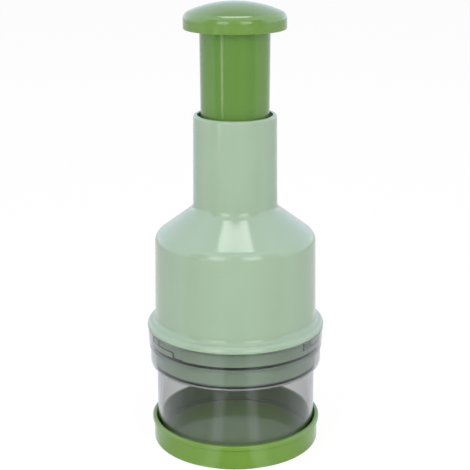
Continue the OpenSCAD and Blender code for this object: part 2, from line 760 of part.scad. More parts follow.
// KNOB: domed shell that snaps over the plunger's plate, with a ring inside the tube
module knob_cap() {
    in_r = knob_r - knob_wall;
    in_dome_r = dome_r - knob_wall;
    in_edge = knob_edge - knob_wall;
    plug_z = plate_z - plug_h;
    plug_top_z = dome_z + sqrt(in_dome_r * in_dome_r - plug_r * plug_r) + knob_wall / 2;
    color(pale_green) rotate_extrude() {
        polygon(concat(
            [[in_r, knob_z]],
            arc(knob_r - knob_foot, knob_z + knob_foot, knob_foot, -90, 0),
            arc(knob_r - knob_edge, knob_side_z, knob_edge, 0, 90 - dome_angle),
            arc(0, dome_z, dome_r, 90 - dome_angle, 90),
            arc(0, dome_z, in_dome_r, 90, 90 - dome_angle),
            arc(knob_r - knob_edge, knob_side_z, in_edge, 90 - dome_angle, 0),
            [[in_r - knob_wall / 2, plate_top_z + knob_wall / 2],
             [in_r - knob_wall / 2, plate_top_z], [in_r, plate_top_z]]));
        translate([plug_r - plug_wall, plug_z]) square([plug_wall, plug_top_z - plug_z]);
    }
}

// BLADES: centres of the strip's bends and ends, seen from above
function bend(i) =
    let (radii = [bend_r, inner_bend_r, bend_r, inner_bend_r, bend_r],
         angles = [-end_angle, -bend_angle, 0, bend_angle, end_angle])
    radii[i] * [cos(angles[i]), sin(angles[i])];
last_bend = 4;
function round_r(i) = i == 0 || i == last_bend ? 0 : bend_round;

// Each straight leg crosses from one side of a bend to the other side of the next
function leg_span(i) = norm(bend(i + 1) - bend(i));
function leg_side(i) = i % 2 == 0 ? -1 : 1;
function leg_angle(i) = atan2(bend(i + 1)[1] - bend(i)[1], bend(i + 1)[0] - bend(i)[0]);
function leg_lean(i) = asin((round_r(i) + round_r(i + 1)) / leg_span(i));
function leg_heading(i) = leg_angle(i) - leg_side(i) * leg_lean(i);
function leg_normal(i) = leg_heading(i) + 90 * leg_side(i);
function leg_start(i) = bend(i) + round_r(i) * [cos(leg_normal(i)), sin(leg_normal(i))];
function leg_length(i) = leg_span(i) * cos(leg_lean(i));

// Angle that the strip turns through at bend i, to the left where it is positive
function bend_turn(i) =
    let (d = leg_heading(i) - leg_heading(i - 1))
    leg_side(i) > 0 ? -((360 - d) % 360) : (360 + d) % 360;

// The strip's path as points with headings: [x, y, heading]
function blade_path() = concat(
    [[bend(0)[0], bend(0)[1], leg_heading(0)]],
    [for (i = [1:last_bend - 1]) for (k = [0:bend_steps])
        let (h = leg_heading(i) - bend_turn(i) * (1 - k / bend_steps), a = h + 90 * leg_side(i))
        [bend(i)[0] + bend_round * cos(a), bend(i)[1] + bend_round * sin(a), h]],
    [[bend(last_bend)[0], bend(last_bend)[1], leg_heading(last_bend - 1)]]);

// Room for the strip seen from above: its legs at any width, with round ends and bends
module zigzag(w) {
    for (i = [0:last_bend - 1])
        translate(leg_start(i)) rotate(leg_heading(i)) translate([0, -w / 2])
            square([leg_length(i), w]);
    for (i = [0:last_bend]) translate(bend(i))
        circle(r = round_r(i) + w / 2 + bend_relief, $fn = 32);
}

// One zigzag blade: the strip's section, bevelled on both sides, carried along its path
module zigzag_blade(place) {
    section = [[-edge_t / 2, 0], [edge_t / 2, 0], [blade_t / 2, bevel_h], [blade_t / 2, blade_h],
               [-blade_t / 2, blade_h], [-blade_t / 2, bevel_h]];
    n = len(section);
    path = blade_path();
    points = [for (p = path) for (q = section) [p[0] - q[0] * sin(p[2]), p[1] + q[0] * cos(p[2]), q[1]]];
    sides = [for (i = [0:len(path) - 2]) for (k = [0:n - 1])
        let (a = i * n + k, b = i * n + (k + 1) % n) each [[a, b + n, b], [a, a + n, b + n]]];
    color(steel) rotate([0, 0, place]) translate([0, 0, tip_z]) polyhedron(points, concat(
        [[for (k = [0:n - 1]) k]], sides, [[for (k = [n - 1:-1:0]) (len(path) - 1) * n + k]]));
}
module zigzag_blade_1() { zigzag_blade(0); }
module zigzag_blade_2() { zigzag_blade(360 / around); }
module zigzag_blade_3() { zigzag_blade(2 * 360 / around); }

// BLADE CARRIER: disc with grooved ribs under it and a hub pinned to the spindle
module blade_carrier() {
    color(white) difference() {
        union() {
            translate([0, 0, carrier_z]) cylinder(r = carrier_r, h = carrier_t);
            translate([0, 0, carrier_z]) cylinder(r = hub_r, h = carrier_t + hub_h);
            spread(around, 0) translate([0, 0, carrier_z - grip_h])
                linear_extrude(height = grip_h + carrier_t / 2) zigzag(grip_w);
        }
        spread(around, 0) translate([0, 0, carrier_z - grip_h - cut])
            linear_extrude(height = grip_h + cut) zigzag(blade_t + 2 * grip_gap);
        spread(around, post_angle) translate([post_circle, 0, carrier_z - cut])
            cylinder(r = post_r + post_gap, h = carrier_t + 2 * cut, $fn = 48);
        translate([0, 0, spindle_foot_z - hub_gap])
            cylinder(r = hub_bore_r, h = hub_top_z - spindle_foot_z + hub_gap + cut);
        translate([0, 0, pin_z]) rotate([90, 0, 0])
            cylinder(r = pin_r + pin_gap, h = 2 * (hub_r + cut), center = true, $fn = 48);
    }
}

// Cross pin that locks the hub on the spindle
module carrier_pin() {
    color(steel) translate([0, 0, pin_z]) rotate([90, 0, 0])
        cylinder(r = pin_r, h = 2 * hub_r - pin_r, center = true, $fn = 48);
}

// WIPER PLATE: slotted plate that strips the blades, on three split snap posts
module wiper_plate() {
    head_r = post_r + head_out;
    color(white) difference() {
        union() {
            translate([0, 0, wiper_z]) cylinder(r = wiper_r, h = wiper_t);
            spread(around, post_angle) translate([post_circle, 0, 0]) {
                translate([0, 0, wiper_top_z - wiper_t / 2])
                    cylinder(r = post_r, h = head_z - wiper_top_z + wiper_t / 2, $fn = 48);
                translate([0, 0, head_z])
                    cylinder(r1 = head_r, r2 = post_r, h = head_h, $fn = 48);
            }
        }
        spread(around, 0) translate([0, 0, wiper_z - cut])
            linear_extrude(height = wiper_t + 2 * cut) zigzag(blade_t + 2 * wiper_slot_gap);
        spread(around, post_angle)
            translate([post_circle - head_r - cut, -split_w / 2, head_z - split_depth])
            cube([2 * (head_r + cut), split_w, head_h + split_depth + cut]);
    }
}

base_cap();
chopping_cup();
housing_shell();
guide_insert();
spiral_nut();
deck_screws();
lower_spring_washer();
return_spring();
plunger_tube();
knob_cap();
upper_spring_washer();
drive_spindle();
thrust_washer();
spindle_washer();
spindle_screw();
blade_carrier();
carrier_pin();
zigzag_blade_1();
zigzag_blade_2();
zigzag_blade_3();
wiper_plate();
wiper_springs();
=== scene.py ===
from math import asin, atan2, ceil, cos, degrees, pi, radians, sin, tan

import bmesh
import bpy
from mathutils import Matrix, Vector


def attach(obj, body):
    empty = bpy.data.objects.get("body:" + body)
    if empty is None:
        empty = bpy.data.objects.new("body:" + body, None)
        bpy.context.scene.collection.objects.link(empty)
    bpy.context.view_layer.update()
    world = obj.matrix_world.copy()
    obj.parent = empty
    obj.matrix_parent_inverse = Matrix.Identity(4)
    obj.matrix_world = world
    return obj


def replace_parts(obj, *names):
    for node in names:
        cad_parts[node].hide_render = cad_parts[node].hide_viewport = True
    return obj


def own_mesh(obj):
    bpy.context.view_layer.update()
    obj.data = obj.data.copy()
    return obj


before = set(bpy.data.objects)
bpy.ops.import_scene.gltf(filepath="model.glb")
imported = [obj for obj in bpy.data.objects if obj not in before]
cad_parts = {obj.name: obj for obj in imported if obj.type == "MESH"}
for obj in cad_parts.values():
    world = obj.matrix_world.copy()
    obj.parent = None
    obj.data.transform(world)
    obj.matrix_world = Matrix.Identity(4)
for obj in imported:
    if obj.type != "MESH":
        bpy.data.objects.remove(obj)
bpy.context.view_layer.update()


# Base cap
# A shallow moulded cap in glossy mid-green plastic. The cup stands inside its
# wall, and it is pulled off downwards by the bead round its lip.

# Turned pieces are drawn in millimetres and degrees, and made in metres
mm_in_metre = 1000
columns_round = 240
arc_step = 7
# A straight run longer than this gets a row this close to each of its ends, so that it shades flat
long_run, end_row = 1.2, 0.15
# What lies nearer to the axis than this closes there
axis_gap = 0.01


def span(node):
    """The lowest point, the highest point and the radius of a solid of the frame, to a micrometre."""
    points = [vertex.co * mm_in_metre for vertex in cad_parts[node].data.vertices]
    measures = (min(p.z for p in points), max(p.z for p in points), max(p.xy.length for p in points))
    return [round(measure, 3) for measure in measures]


def rounded(corners):
    """A turned piece's closed outline, as radius and height; a corner's third number rounds it."""
    points = []
    for i, corner in enumerate(corners):
        here = Vector(corner[:2])
        if len(corner) < 3:
            points.append(here)
            continue
        back = (Vector(corners[i - 1][:2]) - here).normalized()
        onward = (Vector(corners[(i + 1) % len(corners)][:2]) - here).normalized()
        half = back.angle(onward) / 2
        centre = here + (back + onward).normalized() * corner[2] / sin(half)
        first = here + back * corner[2] / tan(half) - centre
        turn = (pi - 2 * half) * (1 if back.cross(onward) < 0 else -1)
        steps = max(3, ceil(abs(degrees(turn)) / arc_step))
        for k in range(steps + 1):
            c, s = cos(turn * k / steps), sin(turn * k / steps)
            points.append(centre + Vector((first.x * c - first.y * s, first.x * s + first.y * c)))
    return points


def closed(name, mesh, sharp=28):
    """Turns a bmesh into a piece: doubles merged, faces outwards, smooth but for its sharp edges."""
    bmesh.ops.remove_doubles(mesh, verts=mesh.verts, dist=1e-7)
    bmesh.ops.recalc_face_normals(mesh, faces=mesh.faces)
    data = bpy.data.meshes.new(name)
    mesh.to_mesh(data)
    mesh.free()
    data.polygons.foreach_set("use_smooth", [True] * len(data.polygons))
    data.set_sharp_from_angle(angle=radians(sharp))
    piece = bpy.data.objects.new(name, data)
    bpy.context.scene.collection.objects.link(piece)
    return piece


def turned(name, outline, columns=None, reshape=None):
    """A closed mesh turned from an outline; reshape moves its points where a lug stands or a slot is cut."""
    rows = []
    for here, onward in zip(outline, outline[1:] + outline[:1]):
        here, onward = Vector(here), Vector(onward)
        rows.append(here)
        if (onward - here).length > long_run and max(here.x, onward.x) > axis_gap:
            inwards = (onward - here).normalized() * end_row
            rows += [here + inwards, onward - inwards]
    mesh = bmesh.new()
    grid = []
    for angle in columns or [360 * k / columns_round for k in range(columns_round)]:
        line = []
        for row in rows:
            r, z = reshape(row.x, row.y, angle) if reshape else row
            x, y = r * cos(radians(angle)), r * sin(radians(angle))
            line.append(mesh.verts.new((x / mm_in_metre, y / mm_in_metre, z / mm_in_metre)))
        grid.append(line)
    for one, two in zip(grid, grid[1:] + grid[:1]):
        for k in range(len(rows)):
            j = (k + 1) % len(rows)
            if max(rows[k].x, rows[j].x) > axis_gap:
                mesh.faces.new((one[k], two[k], two[j], one[j]))
    return closed(name, mesh)


def effect(name, inputs, outputs):
    """An empty shader node group: its tree, the sockets that it is given and those that it fills."""
    tree = bpy.data.node_groups.new(name, "ShaderNodeTree")
    for title, value in inputs.items():
        kind = "NodeSocketColor" if isinstance(value, tuple) else "NodeSocketFloat"
        tree.interface.new_socket(title, in_out="INPUT", socket_type=kind).default_value = value
    for title in outputs:
        kind = "NodeSocketColor" if title == "Colour" else "NodeSocketFloat"
        tree.interface.new_socket(title, in_out="OUTPUT", socket_type=kind)
    return tree, tree.nodes.new("NodeGroupInput").outputs, tree.nodes.new("NodeGroupOutput").inputs


def add(tree, kind, links=None, **settings):
    """A node with its settings; links gives values or output sockets for its inputs by name or place."""
    node = tree.nodes.new(kind)
    for key, value in settings.items():
        setattr(node, key, value)
    for key, value in (links or {}).items():
        if isinstance(value, bpy.types.NodeSocket):
            tree.links.new(value, node.inputs[key])
        else:
            node.inputs[key].default_value = value
    return node


def maths(tree, operation, *values, clamp=False):
    """What a Math node makes of values or sockets."""
    inputs = dict(enumerate(values))
    return add(tree, "ShaderNodeMath", inputs, operation=operation, use_clamp=clamp).outputs[0]


def ramp(tree, value, low, high, bottom=0.0, bend="LINEAR"):
    """A value that runs from bottom at low to 1 at high, and stays between them."""
    ends = {"Value": value, "From Min": low, "From Max": high, "To Min": bottom}
    return add(tree, "ShaderNodeMapRange", ends, interpolation_type=bend).outputs[0]


def noise(tree, place, scale, detail):
    """Soft irregular spots between 0 and 1."""
    return add(tree, "ShaderNodeTexNoise", {"Vector": place, "Scale": scale, "Detail": detail}).outputs[0]


def mixed(tree, factor, one, other):
    """A mix of two colours, or of two values where the other is no colour."""
    if isinstance(other, tuple):
        return add(tree, "ShaderNodeMix", {0: factor, 6: one, 7: other}, data_type="RGBA").outputs[2]
    return add(tree, "ShaderNodeMix", {0: factor, 2: one, 3: other}).outputs[0]


# Moulded plastic: faint flow in the colour, cloudy gloss, hair scuffs, paler worn edges, and painted shade
# that darkens its tight corners
moulding, given, result = effect(
    "moulded plastic",
    {"Colour": (0.5, 0.5, 0.5, 1), "Gloss": 0.2, "Cloud": 0.06, "Scuffs": 0.1, "Edge wear": 0.1,
     "Flow": 0.03, "Corner shade": 0.0},
    ("Colour", "Roughness", "Height"))
place = add(moulding, "ShaderNodeTexCoord").outputs["Object"]
shade = ramp(moulding, noise(moulding, place, 45.0, 3.0), 0.3, 0.7, bottom=-1.0)
shade = maths(moulding, "MULTIPLY_ADD", shade, given["Flow"], 1.0)
tint = add(moulding, "ShaderNodeVectorMath", {0: given["Colour"], "Scale": shade}, operation="SCALE")
bevelled = add(moulding, "ShaderNodeBevel", {"Radius": 0.0005}, samples=4)
plain = add(moulding, "ShaderNodeNewGeometry").outputs["Normal"]
facing = add(moulding, "ShaderNodeVectorMath", {0: bevelled.outputs[0], 1: plain}, operation="DOT_PRODUCT")
edge = ramp(moulding, facing.outputs["Value"], 0.99, 0.9)
edge = maths(moulding, "MULTIPLY", edge, noise(moulding, place, 260.0, 4.0))
edge = maths(moulding, "MULTIPLY", edge, given["Edge wear"])
worn = mixed(moulding, edge, tint.outputs[0], (0.9, 0.92, 0.88, 1))
# Painted shade: where little open air lies round a point of the piece, as in grooves and tight corners, the
# colour is darkened towards near-black in place of the shadow there
open_air = add(moulding, "ShaderNodeAmbientOcclusion", {"Distance": 0.003}, samples=6, only_local=True)
tight = ramp(moulding, open_air.outputs["AO"], 0.85, 0.62)
tight = maths(moulding, "MULTIPLY", tight, given["Corner shade"])
moulding.links.new(mixed(moulding, tight, worn, (0.006, 0.008, 0.005, 1)), result["Colour"])
haze = maths(moulding, "MULTIPLY_ADD", noise(moulding, place, 110.0, 5.0), given["Cloud"], given["Gloss"])
stretch = {"Vector": place, "Rotation": (0.5, 0.3, 0.4), "Scale": (1.0, 9.0, 1.0)}
lines = add(moulding, "ShaderNodeMapping", stretch).outputs[0]
hair = ramp(moulding, noise(moulding, lines, 320.0, 2.0), 0.66, 0.76)
hair = maths(moulding, "MULTIPLY", hair, given["Scuffs"])
rough = maths(moulding, "MULTIPLY_ADD", edge, 0.5, maths(moulding, "ADD", haze, hair), clamp=True)
moulding.links.new(rough, result["Roughness"])
moulding.links.new(maths(moulding, "SUBTRACT", haze, hair), result["Height"])


def finished(name, finish, values, bump, bump_depth):
    """A material whose gloss and height come from a finish group: the material and the group's node."""
    material = bpy.data.materials.new(name)
    material.use_nodes = True
    tree = material.node_tree
    principled = tree.nodes["Principled BSDF"]
    group = add(tree, "ShaderNodeGroup", node_tree=finish)
    for title, value in values.items():
        group.inputs[title].default_value = value
    tree.links.new(group.outputs["Roughness"], principled.inputs["Roughness"])
    height = {"Height": group.outputs["Height"], "Strength": bump, "Distance": bump_depth}
    tree.links.new(add(tree, "ShaderNodeBump", height).outputs[0], principled.inputs["Normal"])
    return material, group


def plastic(name, colour, gloss, cloud=0.06, scuffs=0.1, wear=0.1, flow=0.03, corner_shade=0.0):
    """An opaque moulded plastic."""
    values = {"Colour": (*colour, 1), "Gloss": gloss, "Cloud": cloud, "Scuffs": scuffs, "Edge wear": wear,
              "Flow": flow, "Corner shade": corner_shade}
    material, group = finished(name, moulding, values, 0.06, 0.0002)
    tree = material.node_tree
    tree.links.new(group.outputs["Colour"], tree.nodes["Principled BSDF"].inputs["Base Color"])
    return material


# The green's painted shade darkens the base cap's inner corners
green_plastic = plastic("green plastic", (0.192, 0.362, 0.052), 0.12, cloud=0.05, scuffs=0.05, wear=0.06,
                        flow=0.02, corner_shade=0.6)
foot_z, lip_z, bead_r = span("base_cap")
cap_floor_z = span("chopping_cup")[0]
bead_proud, cap_wall, foot_in_r = 0.85, 1.2, 37
recess_z, bead_z = foot_z + 0.8, lip_z - 2.75
bead_full_z = bead_z + 0.6
cap_r = bead_r - bead_proud
cap_in_r = cap_r - cap_wall
base_cap = turned("base_cap_shell", rounded([
    (0, recess_z), (foot_in_r, recess_z, 0.3), (foot_in_r, foot_z, 0.4), (cap_r, foot_z, 1.5),
    (cap_r, bead_z, 0.6), (bead_r, bead_full_z, 0.6), (bead_r, lip_z, 0.8), (cap_in_r, lip_z, 0.4),
    (cap_in_r, cap_floor_z, 0.5), (0, cap_floor_z)]))
base_cap.data.materials.append(green_plastic)
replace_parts(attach(base_cap, "base"), "base_cap")


# Chopping cup
# A clear smoked tube, open at both ends, with a two-step collar. Three lugs
# inside its rim carry the housing; they are moulded in one piece with it.

cup_foot_z, rim_z, rim_top_r = span("chopping_cup")
cup_wall, chamber_r, collar_r, collar_in_r, rim_in_r = 2, 38.5, 43.7, 41.7, 42.6
cup_r = chamber_r + cup_wall
rim_foot_r = collar_r + 0.6
shelf_z, collar_top_z = 42.3, 51.5
lower_seat_z, rim_foot_z, seat_z = shelf_z + 1.3, collar_top_z + 0.6, rim_z - 8.5
lug_height, lug_in_r, lug_angle = 3, 41.75, 8
lug_top_z = rim_z - 1.5
lug_z = lug_top_z - lug_height
# The front faces -Y, and the middle of the first lug stands this far round from it
front_angle, first_lug_angle = -90, -65.5
# Two rows or columns this close make the square edge of a lug or slot, in mm and in degrees
edge_gap = 0.03
# How near a point has to be to count as lying on a surface
touch = 0.01
lug_starts = [(front_angle + first_lug_angle - lug_angle / 2 + 120 * k) % 360 for k in range(3)]
lug_edges = [(start + d) % 360 for start in lug_starts for d in (0, lug_angle)]


def columns_with(edges):
    """Angles round the axis, with a close pair at each edge of a lug or slot."""
    even = [360 * k / columns_round for k in range(columns_round)]
    clear = [a for a in even if all(abs((a - e + 180) % 360 - 180) > 10 * edge_gap for e in edges)]
    return sorted(clear + [(e + d) % 360 for e in edges for d in (-edge_gap, edge_gap)])


def lugged(r, z, angle):
    """Moves the rim's inner wall in where a lug stands."""
    on_lug = any((angle - start) % 360 < lug_angle for start in lug_starts)
    on_wall = abs(r - rim_in_r) < touch and lug_z - touch < z < lug_top_z + touch
    return (lug_in_r, z) if on_lug and on_wall else (r, z)


smoked = bpy.data.materials.new("smoked clear plastic")
smoked.use_nodes = True
tree = smoked.node_tree
principled = tree.nodes["Principled BSDF"]
principled.inputs["Base Color"].default_value = (1, 1, 1, 1)
principled.inputs["Transmission Weight"].default_value = 1.0
principled.inputs["IOR"].default_value = 1.5
group = add(tree, "ShaderNodeGroup", node_tree=moulding)
for title, value in {"Gloss": 0.0, "Cloud": 0.03, "Scuffs": 0.12, "Edge wear": 0.0}.items():
    group.inputs[title].default_value = value
tree.links.new(group.outputs["Roughness"], principled.inputs["Roughness"])
# Lamps shine straight through, so that the inside isn't left in shadow
lamp_ray = add(tree, "ShaderNodeLightPath").outputs["Is Shadow Ray"]
let_through = add(tree, "ShaderNodeBsdfTransparent", {"Color": (1, 1, 1, 1)}).outputs[0]
blend = add(tree, "ShaderNodeMixShader", {0: lamp_ray, 1: principled.outputs[0], 2: let_through}).outputs[0]
tint = {"Color": (0.50, 0.50, 0.50, 1), "Density": 340.0}
smoke = add(tree, "ShaderNodeVolumeAbsorption", tint).outputs[0]
tree.links.new(blend, tree.nodes["Material Output"].inputs["Surface"])
tree.links.new(smoke, tree.nodes["Material Output"].inputs["Volume"])

cup = turned("chopping_cup_body", rounded([
    (chamber_r, cup_foot_z, 0.4), (cup_r, cup_foot_z, 0.5), (cup_r, shelf_z, 0.6), (collar_r, shelf_z, 2),
    (collar_r, collar_top_z, 0.3), (rim_foot_r, rim_foot_z, 0.3), (rim_top_r, rim_z, 0.5),
    (rim_in_r, rim_z, 0.3), (rim_in_r, lug_top_z + edge_gap), (rim_in_r, lug_top_z), (rim_in_r, lug_z),
    (rim_in_r, lug_z - edge_gap), (rim_in_r, seat_z), (collar_in_r, seat_z, 0.3),
    (collar_in_r, lower_seat_z), (chamber_r, lower_seat_z, 0.4)]), columns_with(lug_edges), lugged)
cup.data.materials.append(smoked)
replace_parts(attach(cup, "cup"), "chopping_cup")


# Housing
# A pale mint moulding: skirt, bell-shaped body, sloped shoulder and neck in
# one. Its spigot goes down into the collar, and three L-shaped slots cut in
# the spigot's band take the lugs. Three bosses inside hold the guide's screws.

# The mint has the strongest painted shade: the groove under the band and the corners of the slots are
# darkened in its colour in place of their shadow
mint = plastic("mint plastic", (0.385, 0.520, 0.372), 0.11, cloud=0.05, scuffs=0.04, wear=0.05, flow=0.012,
               corner_shade=1.0)
tongue_z, neck_top_z, skirt_r = span("housing_shell")
housing_wall, shoulder_slope = 2.1, radians(37)
body_r, body_top_r, neck_r, neck_top_r, bore_r, stop_r = 41, 40.35, 21.1, 20.6, 18.6, 17.5
body_in_r = body_r - housing_wall
tongue_r, sleeve_r, band_r, slot_floor_r = 40.1, 41.4, 42.3, 41.6
skirt_gap, skirt_lip, band_height, groove_height = 0.2, 0.05, 7.8, 1.5
skirt_z, sleeve_z, body_z = rim_z + skirt_gap, 44.95, 68.6
band_z = skirt_z - band_height
groove_z = band_z - groove_height
stop_z, stop_top_z, stop_slope_z = neck_top_z - 6, 167.5, 168.1
# A point of the shoulder's slope, and the radius where the inner slope meets the inner wall
slope_r, slope_z, roof_edge_r = 38.03, 111.65, 38.25
slot_clear, slot_clear_angle, unlock_angle, slot_angle = 0.5, 0.5, 24, 33
run_z, run_top_z = lug_z - slot_clear, lug_top_z + slot_clear
slot_starts = [(start - slot_clear_angle) % 360 for start in lug_starts]
slot_edges = [(start + d) % 360 for start in slot_starts for d in (0, unlock_angle, slot_angle)]


def bow(x, z, radius, start, end, steps=16):
    """Points of an arc round (x, z)."""
    turns = [radians(start + (end - start) * k / steps) for k in range(steps + 1)]
    return [(x + radius * cos(a), z + radius * sin(a)) for a in turns]


def flare(r1, z1, r2, z2, steps=10):
    """An S-curve with upright ends, from (r1, z1) up to a narrower (r2, z2)."""
    w, h = r1 - r2, z2 - z1
    r = (h * h + w * w) / (4 * w)
    a = degrees(asin(h / 2 / r))
    return bow(r1 - r, z1, r, 0, a, steps) + bow(r2 + r, z2, r, 180 + a, 180, steps)


def slotted(r, z, angle):
    """Moves the spigot's band in where a slot runs or opens downwards."""
    for start in slot_starts:
        along = (angle - start) % 360
        on_run = along < slot_angle and run_z - touch < z < run_top_z + touch
        on_entry = unlock_angle < along < slot_angle and band_z - touch < z < run_top_z + touch
        if r > (slot_floor_r + band_r) / 2 and (on_run or on_entry):
            return slot_floor_r, z
    return r, z


def on_slope(r):
    """The height of the shoulder's outer slope at a radius."""
    return slope_z + (slope_r - r) * tan(shoulder_slope)


def on_roof(r):
    """The height of the shoulder's inner slope at a radius."""
    return on_slope(r) - housing_wall / cos(shoulder_slope)


housing = turned("housing_bell", rounded([
    (body_in_r, tongue_z, 0.2), (tongue_r, tongue_z, 0.2), (tongue_r, sleeve_z), (sleeve_r, sleeve_z, 0.3),
    (sleeve_r, groove_z, 0.15), (tongue_r, groove_z), (tongue_r, band_z), (band_r, band_z, 0.25),
    (band_r, run_z - edge_gap), (band_r, run_z), (band_r, run_top_z), (band_r, run_top_z + edge_gap),
    (band_r, skirt_z), (skirt_r, skirt_z)] + flare(skirt_r, skirt_z + skirt_lip, body_r, body_z) + [
    (body_top_r, on_slope(body_top_r), 5.9), (neck_r, on_slope(neck_r), 4.8),
    (neck_top_r, neck_top_z, 1.2), (bore_r, neck_top_z, 0.3), (bore_r, stop_slope_z),
    (stop_r, stop_top_z, 0.2), (stop_r, stop_z, 0.2), (bore_r, stop_z), (bore_r, on_roof(bore_r), 1.5),
    (roof_edge_r, on_roof(roof_edge_r), 3.8), (body_in_r, body_z)]), columns_with(slot_edges), slotted)
housing.data.materials.append(mint)
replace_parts(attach(housing, "housing"), "housing_shell")

screw_circle_r, first_screw_angle, boss_r, pilot_r, boss_sides = 30, 60, 3.5, 1.25, 40
boss_z, screw_tip_z, boss_sunk = 103, span("deck_screws")[1], 0.8
# A boss's hole, foot and wall; where no height is given it ends in the sloped roof
boss_outline = ((pilot_r, screw_tip_z), (pilot_r, boss_z + 0.3), (pilot_r + 0.3, boss_z),
                (boss_r - 0.2, boss_z), (boss_r, boss_z + 0.2), (boss_r, None), (pilot_r, None))
bosses = bmesh.new()
for k in range(3):
    screw_angle = radians(first_screw_angle + 120 * k)
    hub = Vector((cos(screw_angle), sin(screw_angle))) * screw_circle_r
    rings = []
    for r, z in boss_outline:
        turns = [2 * pi * i / boss_sides for i in range(boss_sides)]
        spots = [hub + Vector((cos(turn), sin(turn))) * r for turn in turns]
        places = [(p.x, p.y, z or on_roof(p.length) + boss_sunk) for p in spots]
        rings.append([bosses.verts.new([part / mm_in_metre for part in place]) for place in places])
    for one, two in zip(rings, rings[1:] + rings[:1]):
        for i in range(boss_sides):
            j = (i + 1) % boss_sides
            bosses.faces.new((one[i], one[j], two[j], two[i]))
bosses = closed("housing_screw_bosses", bosses)
bosses.data.materials.append(mint)
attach(bosses, "housing")


# Guide insert, nut, spindle, carrier
# A white moulded deck with a guide tube, a steel nut with a twisted slot, and the
# steel spindle that the nut turns, with a white blade carrier pinned to its foot.
# The frame's solids are dressed, and only the spindle is made anew, with a finer twist.

white_plastic = plastic("white plastic", (0.80, 0.80, 0.76), 0.32, cloud=0.1, scuffs=0.08, flow=0.015)

# Turned steel: rings of tool marks round the upright axis, in gloss and height
turning, given, result = effect("turned steel", {"Marks": 1600.0, "Gloss": 0.24, "Spread": 0.12},
                                ("Roughness", "Height"))
place = add(turning, "ShaderNodeTexCoord").outputs["Object"]
rings = add(turning, "ShaderNodeMapping", {"Vector": place, "Scale": (0.04, 0.04, 1.0)}).outputs[0]
marks = noise(turning, rings, given["Marks"], 3.0)
rough = maths(turning, "MULTIPLY_ADD", marks, given["Spread"], given["Gloss"])
turning.links.new(rough, result["Roughness"])
turning.links.new(marks, result["Height"])


def metal(name, colour, finish, bump, **values):
    """A bare metal."""
    material = finished(name, finish, values, bump, 0.0001)[0]
    principled = material.node_tree.nodes["Principled BSDF"]
    principled.inputs["Base Color"].default_value = (*colour, 1)
    principled.inputs["Metallic"].default_value = 1.0
    return material


def dress(material, *nodes):
    """Gives solids of the frame their material."""
    for node in nodes:
        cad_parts[node].data.materials.clear()
        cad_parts[node].data.materials.append(material)


turned_steel = metal("turned steel", (0.56, 0.57, 0.58), turning, 0.3)
nut_steel = metal("nut steel", (0.50, 0.51, 0.53), turning, 0.35, Gloss=0.3)
dress(white_plastic, "guide_insert", "thrust_washer", "blade_carrier")
dress(nut_steel, "spiral_nut")
dress(turned_steel, "lower_spring_washer", "upper_spring_washer", "spindle_washer", "spindle_screw",
      "carrier_pin")


def recipe(name, inputs):
    """An empty Geometry Nodes tree: its tree, the sockets that it is given and those that it fills."""
    tree = bpy.data.node_groups.new(name, "GeometryNodeTree")
    tree.interface.new_socket("Geometry", in_out="INPUT", socket_type="NodeSocketGeometry")
    kinds = {int: "NodeSocketInt", float: "NodeSocketFloat", type(None): "NodeSocketMaterial"}
    for title, value in inputs.items():
        socket = tree.interface.new_socket(title, in_out="INPUT", socket_type=kinds[type(value)])
        if value is not None:
            socket.default_value = value
    tree.interface.new_socket("Geometry", in_out="OUTPUT", socket_type="NodeSocketGeometry")
    return tree, tree.nodes.new("NodeGroupInput").outputs, tree.nodes.new("NodeGroupOutput").inputs


def at(tree, x=0.0, y=0.0, z=0.0):
    """A vector from three values or sockets."""
    return add(tree, "ShaderNodeCombineXYZ", {0: x, 1: y, 2: z}).outputs[0]


def moved(tree, geometry, shift, turn=(0.0, 0.0, 0.0)):
    """A geometry shifted by a vector, after a turn."""
    change = {"Geometry": geometry, "Translation": shift, "Rotation": turn}
    return add(tree, "GeometryNodeTransform", change).outputs[0]


def together(tree, solids):
    """Several geometries as one."""
    joined = add(tree, "GeometryNodeJoinGeometry")
    for solid in solids:
        tree.links.new(solid, joined.inputs[0])
    return joined.outputs[0]


def finish_recipe(tree, geometry, material, output):
    """Ends a tree: instances made real, material set."""
    real = add(tree, "GeometryNodeRealizeInstances", {"Geometry": geometry}).outputs[0]
    dressed = add(tree, "GeometryNodeSetMaterial", {"Geometry": real, "Material": material}).outputs[0]
    tree.links.new(dressed, output["Geometry"])


def made(name, tree, values, start_mesh=None, sharp=30):
    """A plain mesh from a tree: its inputs are set, it is evaluated and converted, and the modifier goes."""
    data = start_mesh or bpy.data.meshes.new(name + "_start")
    start = bpy.data.objects.new(name + "_start", data)
    bpy.context.scene.collection.objects.link(start)
    modifier = start.modifiers.new("made", "NODES")
    modifier.node_group = tree
    for socket in tree.interface.items_tree:
        if socket.in_out == "INPUT" and socket.name in values:
            modifier[socket.identifier] = values[socket.name]
    ready = start.evaluated_get(bpy.context.evaluated_depsgraph_get())
    data = bpy.data.meshes.new_from_object(ready)
    start.modifiers.clear()
    bpy.data.objects.remove(start)
    mesh = bmesh.new()
    mesh.from_mesh(data)
    piece = closed(name, mesh, sharp)
    for material in data.materials:
        piece.data.materials.append(material)
    return piece


